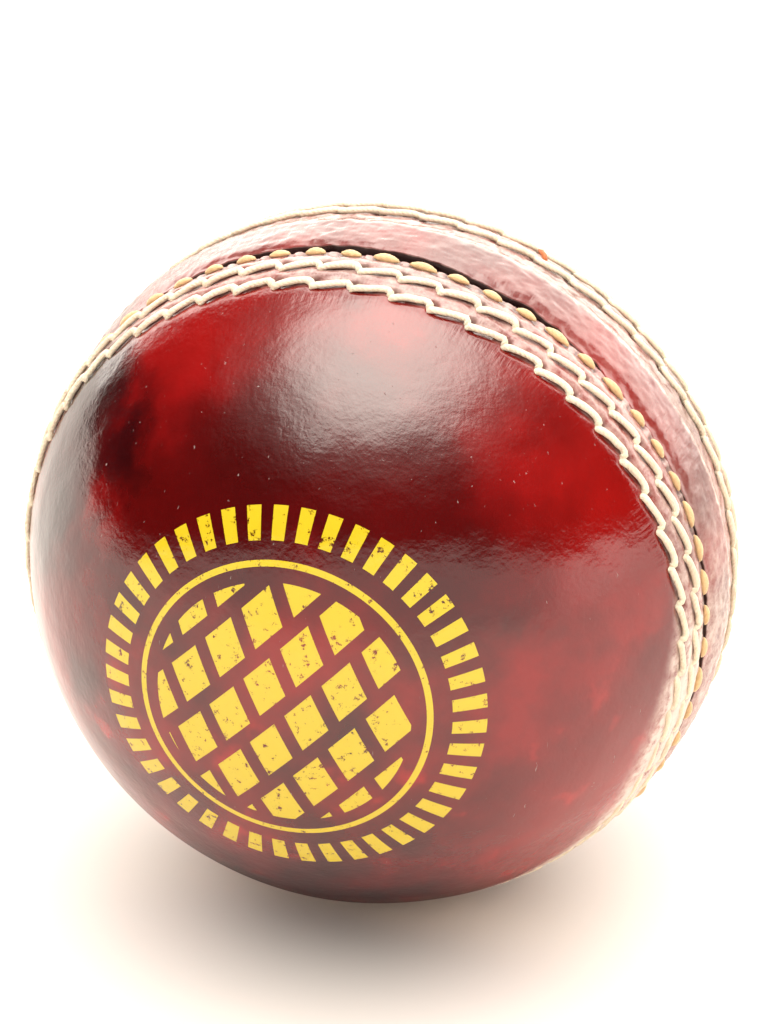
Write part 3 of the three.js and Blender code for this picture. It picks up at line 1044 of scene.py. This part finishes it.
def wound_tree():
    """A wound layer: one long yarn that goes round the ball in great circles, each a little turned."""
    tree = bpy.data.node_groups.new("wound_yarn", "GeometryNodeTree")
    for name, kind in (
        ("Geometry", "NodeSocketGeometry"),
        ("Points", "NodeSocketInt"),
        ("Points in a turn", "NodeSocketFloat"),
        ("Distance", "NodeSocketFloat"),
        ("Yarn radius", "NodeSocketFloat"),
        ("Tilt", "NodeSocketFloat"),
        ("Creep", "NodeSocketFloat"),
        ("Yarn", "NodeSocketMaterial"),
    ):
        tree.interface.new_socket(name=name, in_out="INPUT", socket_type=kind)
    tree.interface.new_socket(name="Geometry", in_out="OUTPUT", socket_type="NodeSocketGeometry")
    given = add(tree, "NodeGroupInput", take=None)
    line = add(tree, "GeometryNodeMeshLine", {"Count": given["Points"]})
    index = add(tree, "GeometryNodeInputIndex")
    turns = add(tree, "ShaderNodeMath", {0: index, 1: given["Points in a turn"]}, operation="DIVIDE")
    angle = add(tree, "ShaderNodeMath", {0: turns, 1: math.tau}, operation="MULTIPLY")
    tilt = add(tree, "ShaderNodeMath", {0: turns, 1: given["Tilt"]}, operation="MULTIPLY")
    creep = add(tree, "ShaderNodeMath", {0: turns, 1: given["Creep"]}, operation="MULTIPLY")
    east = add(tree, "ShaderNodeMath", {0: angle}, operation="COSINE")
    north = add(tree, "ShaderNodeMath", {0: angle}, operation="SINE")
    ring = add(tree, "ShaderNodeCombineXYZ", {0: east, 1: north})
    euler = add(tree, "ShaderNodeCombineXYZ", {0: tilt, 2: creep})
    leaning = add(
        tree, "ShaderNodeVectorRotate", {"Vector": ring, "Rotation": euler}, rotation_type="EULER_XYZ"
    )
    spot = add(tree, "ShaderNodeVectorMath", {0: leaning, 3: given["Distance"]}, operation="SCALE")
    moved = add(tree, "GeometryNodeSetPosition", {"Geometry": line, "Position": spot})
    path = add(tree, "GeometryNodeMeshToCurve", {0: moved})
    strand = {"Resolution": YARN_SIDES, "Radius": given["Yarn radius"]}
    section = add(tree, "GeometryNodeCurvePrimitiveCircle", strand)
    yarn = add(
        tree, "GeometryNodeCurveToMesh", {"Curve": path, "Profile Curve": section, "Fill Caps": True}
    )
    solid = add(tree, "GeometryNodeRealizeInstances", {0: yarn})
    finished = add(tree, "GeometryNodeSetMaterial", {"Geometry": solid, "Material": given["Yarn"]})
    add(tree, "NodeGroupOutput", {0: finished})
    return tree


def shell_skin(name, profile, around, material):
    """A closed shell of revolution about Y, from a profile of (latitude, radius) with poles at both ends."""
    points, rings = [], []
    for latitude, radius in profile:
        count = 1 if abs(latitude) == 90 else around
        longitude = np.arange(count) * 360 / count
        points.append(on_half(True, np.full(count, latitude), longitude, np.full(count, radius)))
        rings.append(count)
    return object_from(name, np.concatenate(points), skin(rings), material)


def slab(name, inside, outside, longitude, width, end, material):
    """A cork slip: a curved gore with crumbled edges, a grid of vertices folded from outside to inside."""
    across, along = 24, 44
    u = np.linspace(-1, 1, across + 1)
    v = np.linspace(-1, 1, along + 1)
    grid_u, grid_v = np.meshgrid(u, v, indexing="ij")
    edge = np.maximum(np.abs(grid_u) ** 14, np.abs(grid_v) ** 14)
    layers = []
    for side, radius in ((1, outside), (-1, inside)):
        chamfer = 0.25 * edge
        lat = grid_v * end * (1 - 0.004 * edge)
        lon = longitude + grid_u * width / 2 * (1 - 0.012 * edge)
        at = on_half(True, lat, lon, np.full_like(lat, radius)).reshape(-1, 3)
        crumble = 0.14 * roughly(at / MM, 1.6, 6).reshape(lat.shape)
        layers.append(on_half(True, lat, lon, radius - side * (chamfer + 0.1 + crumble)).reshape(-1, 3))
    rows = along + 1
    faces = []
    size = (across + 1) * rows
    for i in range(across):
        for j in range(along):
            a, b, c, d = i * rows + j, (i + 1) * rows + j, (i + 1) * rows + j + 1, i * rows + j + 1
            faces.append((a, b, c, d))
            faces.append((size + d, size + c, size + b, size + a))
    rim = [i * rows for i in range(across)] + [across * rows + j for j in range(along)]
    rim += [i * rows + along for i in range(across, 0, -1)] + list(range(along, 0, -1))
    for a, b in zip(rim, rim[1:] + rim[:1]):
        faces.append((b, a, size + a, size + b))
    return object_from(name, np.concatenate(layers), faces, material)


# ---------------------------------------------------------------- operators

FLOOR_HALF = 4.0  # metres
AIM_UP, AIM_RIGHT = 4.42 * MM, 0.31 * MM  # so the ball sits a little low and left of the frame's centre
WALL_TURN = math.radians(18)  # the dark wall's turn away from the camera, towards its left
WALL_LIGHT = 0.015  # the dark wall's brightness
LAMP_HEIGHT = math.radians(66)  # above the camera's line of sight
BACKDROP_LIGHT = 4.0  # added to the dome where the camera sees past the floor's edge


class CRICKETBALL_OT_stage(bpy.types.Operator):
    """Lay a white floor, light it like a small studio and set the camera"""

    bl_idname = "cricket_ball.stage"
    bl_label = "Stage"

    def execute(self, context):
        stage = context.scene.ball_stage
        azimuth, elevation = stage.azimuth, stage.elevation
        towards = Vector(
            (
                math.sin(azimuth) * math.cos(elevation),
                -math.cos(azimuth) * math.cos(elevation),
                math.sin(elevation),
            )
        )
        right = Vector((math.cos(azimuth), math.sin(azimuth), 0))
        up = right.cross(-towards).normalized()
        ground = CAD_BOX[0][2]

        far = FLOOR_HALF
        corner = [(-far, -far, ground), (far, -far, ground), (far, far, ground), (-far, far, ground)]
        floor = object_from("floor", corner, [(0, 1, 2, 3)], painted_board(stage), closed=False)

        camera = bpy.data.objects.new("camera", bpy.data.cameras.new("camera"))
        camera.data.lens = stage.lens
        camera.data.clip_end = 100
        place = towards * stage.distance + up * AIM_UP + right * AIM_RIGHT
        back = Matrix((right, up, towards)).transposed()
        camera.matrix_world = Matrix.Translation(place) @ back.to_4x4()
        context.scene.collection.objects.link(camera)
        context.scene.camera = camera

        self.light_studio(context, up, Vector((math.sin(azimuth), -math.cos(azimuth), 0)), towards, right)
        context.scene.view_settings.view_transform = "Standard"
        return {"FINISHED"}

    def light_studio(self, context, up, front, towards, right):
        """A white room with a dark wall before the ball, a soft box overhead in a faint haze and a narrow
        slot of light. The gloss mirrors all this, and a plain dome lights the rest."""
        world = bpy.data.worlds.new("studio")
        context.scene.world = world
        world.use_nodes = True
        tree = world.node_tree
        tree.nodes.clear()
        direction = add(tree, "ShaderNodeTexCoord", take="Generated")
        above = add(
            tree, "ShaderNodeVectorMath", {0: direction, 1: up}, operation="DOT_PRODUCT", take="Value"
        )
        wall = (front * math.cos(WALL_TURN) - right * math.sin(WALL_TURN)).normalized()
        before = add(
            tree, "ShaderNodeVectorMath", {0: direction, 1: wall}, operation="DOT_PRODUCT", take="Value"
        )
        over = add(
            tree, "ShaderNodeMapRange", {0: above, 1: -0.02, 2: 0.03}, interpolation_type="SMOOTHSTEP"
        )
        ahead = add(
            tree, "ShaderNodeMapRange", {0: before, 1: -0.51, 2: -0.43}, interpolation_type="SMOOTHSTEP"
        )
        dark = add(tree, "ShaderNodeMath", {0: over, 1: ahead}, operation="MULTIPLY")
        rear = add(tree, "ShaderNodeMapRange", {0: before, 1: 0.3, 2: -0.8, 3: 1.5, 4: 5.5})
        seen = add(tree, "ShaderNodeMix", {0: dark, 2: rear, 3: WALL_LIGHT}, data_type="FLOAT")

        lamp = (towards * math.cos(LAMP_HEIGHT) + up * math.sin(LAMP_HEIGHT)).normalized()
        slot = (towards * 0.67 + up * 0.656 - right * 0.347).normalized()
        lights = ((lamp, 34, 6, 9.0), (lamp, 50, 26, 1.0), (slot, 5.5, 2, 4.0))
        for way, edge, core, strength in lights:  # degrees from its middle at which each starts and is full
            facing = add(
                tree, "ShaderNodeVectorMath", {0: direction, 1: way}, operation="DOT_PRODUCT", take="Value"
            )
            ends = {1: math.cos(math.radians(edge)), 2: math.cos(math.radians(core)), 3: 0.0, 4: strength}
            glow = add(tree, "ShaderNodeMapRange", {0: facing, **ends}, interpolation_type="SMOOTHSTEP")
            seen = add(tree, "ShaderNodeMath", {0: seen, 1: glow}, operation="ADD")

        rays = add(tree, "ShaderNodeLightPath", take=None)
        height = add(tree, "ShaderNodeSeparateXYZ", {0: direction}, take=2)
        ends = {1: 0.0, 2: 1.0, 3: 0.05, 4: 3.8}
        dome = add(tree, "ShaderNodeMapRange", {0: height, **ends}, interpolation_type="SMOOTHSTEP")
        lean = add(tree, "ShaderNodeMath", {0: before, 1: -0.5, 2: 1.0}, operation="MULTIPLY_ADD")
        dome = add(tree, "ShaderNodeMath", {0: dome, 1: lean}, operation="MULTIPLY")
        level = add(tree, "ShaderNodeMix", {0: rays["Is Glossy Ray"], 2: dome, 3: seen}, data_type="FLOAT")
        brighter = {0: rays["Is Camera Ray"], 1: BACKDROP_LIGHT, 2: level}
        level = add(tree, "ShaderNodeMath", brighter, operation="MULTIPLY_ADD")
        whites = {6: (1, 0.97, 0.93, 1), 7: (1, 0.95, 0.86, 1)}
        tint = add(tree, "ShaderNodeMix", {0: rays["Is Glossy Ray"], **whites}, data_type="RGBA", take=2)
        background = add(tree, "ShaderNodeBackground", {"Color": tint, "Strength": level})
        add(tree, "ShaderNodeOutputWorld", {0: background})
        world.cycles.sampling_method = "NONE"


class CRICKETBALL_OT_cups(bpy.types.Operator):
    """Cut, mould and stitch-pucker the two leather cups"""

    bl_idname = "cricket_ball.cups"
    bl_label = "Leather cups"

    def execute(self, context):
        sizes, colours = context.scene.ball_sizes, context.scene.ball_colours
        stamped = lacquered_leather(colours, sizes, "lacquered_cow_leather_foil_stamped", True)
        plain = lacquered_leather(colours, sizes, "lacquered_cow_leather", False)
        cups = (("front_leather_cup", True, stamped), ("back_leather_cup", False, plain))
        for name, front, material in cups:
            made = cup(name, front, sizes.puff / MM, material)
            keep(made, "red_leather", "front_cup" if front else "back_cup")
        return {"FINISHED"}


class CRICKETBALL_OT_stitches(bpy.types.Operator):
    """Sew the four rows of cream thread"""

    bl_idname = "cricket_ball.stitches"
    bl_label = "Cream stitches"

    def execute(self, context):
        sizes, colours = context.scene.ball_sizes, context.scene.ball_colours
        linen = waxed_linen("waxed_linen_cream", colours.cream, plies=3)
        tree = row_tree()
        rng = np.random.default_rng(sizes.seed)
        seat = BALL_RADIUS + BAND_RISE - 0.12
        for half in ("front", "back"):
            for row, latitude in (("inner", INNER_ROW), ("outer", OUTER_ROW)):
                node = f"{half}_{row}_stitches"
                patterns = stitch_patterns(latitude, seat, sizes.thread_width / MM, rng, linen)
                seed = sizes.seed + len(node)
                front = half == "front"
                made = thread_row(f"{node}_thread", tree, patterns, CREAM_STITCHES, front, seed, linen)
                keep(made, "cream_thread", node)
        return {"FINISHED"}


class CRICKETBALL_OT_closing_thread(bpy.types.Operator):
    """Close the two cups with golden thread"""

    bl_idname = "cricket_ball.closing_thread"
    bl_label = "Closing thread"

    def execute(self, context):
        sizes, colours = context.scene.ball_sizes, context.scene.ball_colours
        linen = waxed_linen("waxed_linen_golden", colours.gold, plies=2)
        rng = np.random.default_rng(sizes.seed + 1)
        seat = BALL_RADIUS + BAND_RISE - 0.2
        patterns = bead_patterns(seat, sizes.bead_length / MM, sizes.bead_width / MM, rng, linen)
        seed = sizes.seed + 3
        made = thread_row(
            "closing_thread_beads", row_tree(), patterns, CLOSING_STITCHES, True, seed, linen, WORN_BEADS
        )
        keep(made, "closing_thread", "closing_thread")
        latitude, longitude, lift = (np.array(values) for values in zip(*LOOSE_END))
        path = on_half(False, latitude, longitude, BALL_RADIUS + BAND_RISE + lift)
        widths = np.array(LOOSE_WIDTHS)
        frayed = waxed_linen("waxed_linen_orange", colours.loose_end, plies=2)
        end = swept("loose_thread_end", path, widths, widths, THREAD_SIDES, frayed)
        keep(end, "closing_thread")
        return {"FINISHED"}


class CRICKETBALL_OT_linings(bpy.types.Operator):
    """Line each cup with cotton cloth"""

    bl_idname = "cricket_ball.linings"
    bl_label = "Linings"

    def execute(self, context):
        cloth = backing_cloth(context.scene.ball_colours)
        for half in ("front", "back"):
            node = f"{half}_lining"
            inside, outside = shell(node)
            rim = math.degrees(math.asin(min(abs(corners(node)[:, 1])) / inside))
            up = np.linspace(rim, 90, 40)
            middle = (inside + outside) / 2
            profile = [(lat, outside) for lat in up[::-1]] + [(rim * 0.9, middle)]
            profile += [(lat, inside) for lat in up]
            made = shell_skin(f"{half}_cloth_lining", profile, 120, cloth)
            if half == "back":
                made.data.transform(Matrix.Rotation(math.pi, 4, "X"))
            keep(made, "lining_cloth", node)
        return {"FINISHED"}


class CRICKETBALL_OT_windings(bpy.types.Operator):
    """Wind the three layers of worsted yarn"""

    bl_idname = "cricket_ball.windings"
    bl_label = "Yarn windings"

    def execute(self, context):
        sizes, colours = context.scene.ball_sizes, context.scene.ball_colours
        wool = worsted(colours)
        tree = wound_tree()
        for i, layer in enumerate(("outer", "middle", "inner")):
            node = f"{layer}_winding"
            inside, outside = shell(node)
            width = sizes.yarn_width / MM
            turns = round(1.6 * outside / width)
            strand = grown(
                f"{layer}_wound_yarn",
                tree,
                {
                    "Points": turns * POINTS_IN_A_TURN,
                    "Points in a turn": POINTS_IN_A_TURN + 0.37,
                    "Distance": (outside - width * 0.5) * MM,
                    "Yarn radius": width * 0.55 * MM,
                    "Tilt": math.radians(7.3 + i),
                    "Creep": math.radians(12.9 - i),
                    "Yarn": wool,
                },
            )
            keep(strand, "worsted_yarn")
            profile = [(-90, outside - width), *((lat, outside - width) for lat in np.linspace(-85, 80, 34))]
            profile += [(lat, inside) for lat in np.linspace(80, -85, 34)] + [(-90, inside)]
            core = shell_skin(f"{layer}_packed_yarn", profile, 72, wool)
            keep(core, "worsted_yarn", node)
        return {"FINISHED"}


class CRICKETBALL_OT_cork_slips(bpy.types.Operator):
    """Cut the cork slips and lay them round the ball"""

    bl_idname = "cricket_ball.cork_slips"
    bl_label = "Cork slips"

    def execute(self, context):
        colours = context.scene.ball_colours
        cork = granular("sheet_cork_pressed_granules", tuple(colours.cork), linear("#6e4a2a"), 1.4, 0.85)
        for node in sorted(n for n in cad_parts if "cork_slip" in n):
            inside, outside = shell(node)
            where = corners(node)
            end = math.degrees(math.asin(where[:, 1].max() / outside))
            middle = where.mean(axis=0)
            longitude = math.degrees(math.atan2(middle[0], middle[2]))
            turned = (np.degrees(np.arctan2(where[:, 0], where[:, 2])) - longitude + 180) % 360 - 180
            width = turned.max() - turned.min()
            made = slab(f"{node}_sheet", inside, outside, longitude, width, end, cork)
            keep(made, "cork", node)
        return {"FINISHED"}


class CRICKETBALL_OT_centre(bpy.types.Operator):
    """Mould the cork and rubber centre"""

    bl_idname = "cricket_ball.centre"
    bl_label = "Cork and rubber centre"

    def execute(self, context):
        colours = context.scene.ball_colours
        rubber = granular("moulded_cork_rubber", linear("#7a5636"), tuple(colours.cork_rubber), 1.8, 0.75)
        radius = shell("cork_rubber_centre")[1]
        flash = 0.12  # mm that the mould's parting line stands up
        profile = []
        for latitude in np.linspace(-90, 90, 73):
            profile.append((latitude, radius - flash + flash * bell(latitude, 0, 1.5)))
        made = shell_skin("moulded_centre", profile, 144, rubber)
        keep(made, "cork_rubber", "cork_rubber_centre")
        return {"FINISHED"}


PIECES = (
    CRICKETBALL_OT_stage,
    CRICKETBALL_OT_cups,
    CRICKETBALL_OT_stitches,
    CRICKETBALL_OT_closing_thread,
    CRICKETBALL_OT_linings,
    CRICKETBALL_OT_windings,
    CRICKETBALL_OT_cork_slips,
    CRICKETBALL_OT_centre,
)


class CRICKETBALL_PT_panel(bpy.types.Panel):
    """The ball's pieces, sizes and colours"""

    bl_idname = "CRICKETBALL_PT_panel"
    bl_label = "Cricket Ball"
    bl_space_type = "VIEW_3D"
    bl_region_type = "UI"
    bl_category = "Cricket Ball"

    def draw(self, context):
        for piece in PIECES:
            self.layout.operator(piece.bl_idname)
        for settings in (context.scene.ball_sizes, context.scene.ball_colours, context.scene.ball_stage):
            box = self.layout.box()
            for name in settings.bl_rna.properties.keys()[2:]:
                box.prop(settings, name)


SETTINGS = {"ball_sizes": BallSizes, "ball_colours": BallColours, "ball_stage": StageSettings}


def register():
    for name, group in SETTINGS.items():
        bpy.utils.register_class(group)
        setattr(bpy.types.Scene, name, bpy.props.PointerProperty(type=group))
    for piece in (*PIECES, CRICKETBALL_PT_panel):
        bpy.utils.register_class(piece)


def unregister():
    for piece in (CRICKETBALL_PT_panel, *reversed(PIECES)):
        bpy.utils.unregister_class(piece)
    for name, group in SETTINGS.items():
        delattr(bpy.types.Scene, name)
        bpy.utils.unregister_class(group)


def main():
    register()
    ball = bpy.ops.cricket_ball
    ball.stage()
    ball.cups()
    ball.stitches()
    ball.closing_thread()
    ball.linings()
    ball.windings()
    ball.cork_slips()
    ball.centre()


if __name__ == "__main__":
    main()
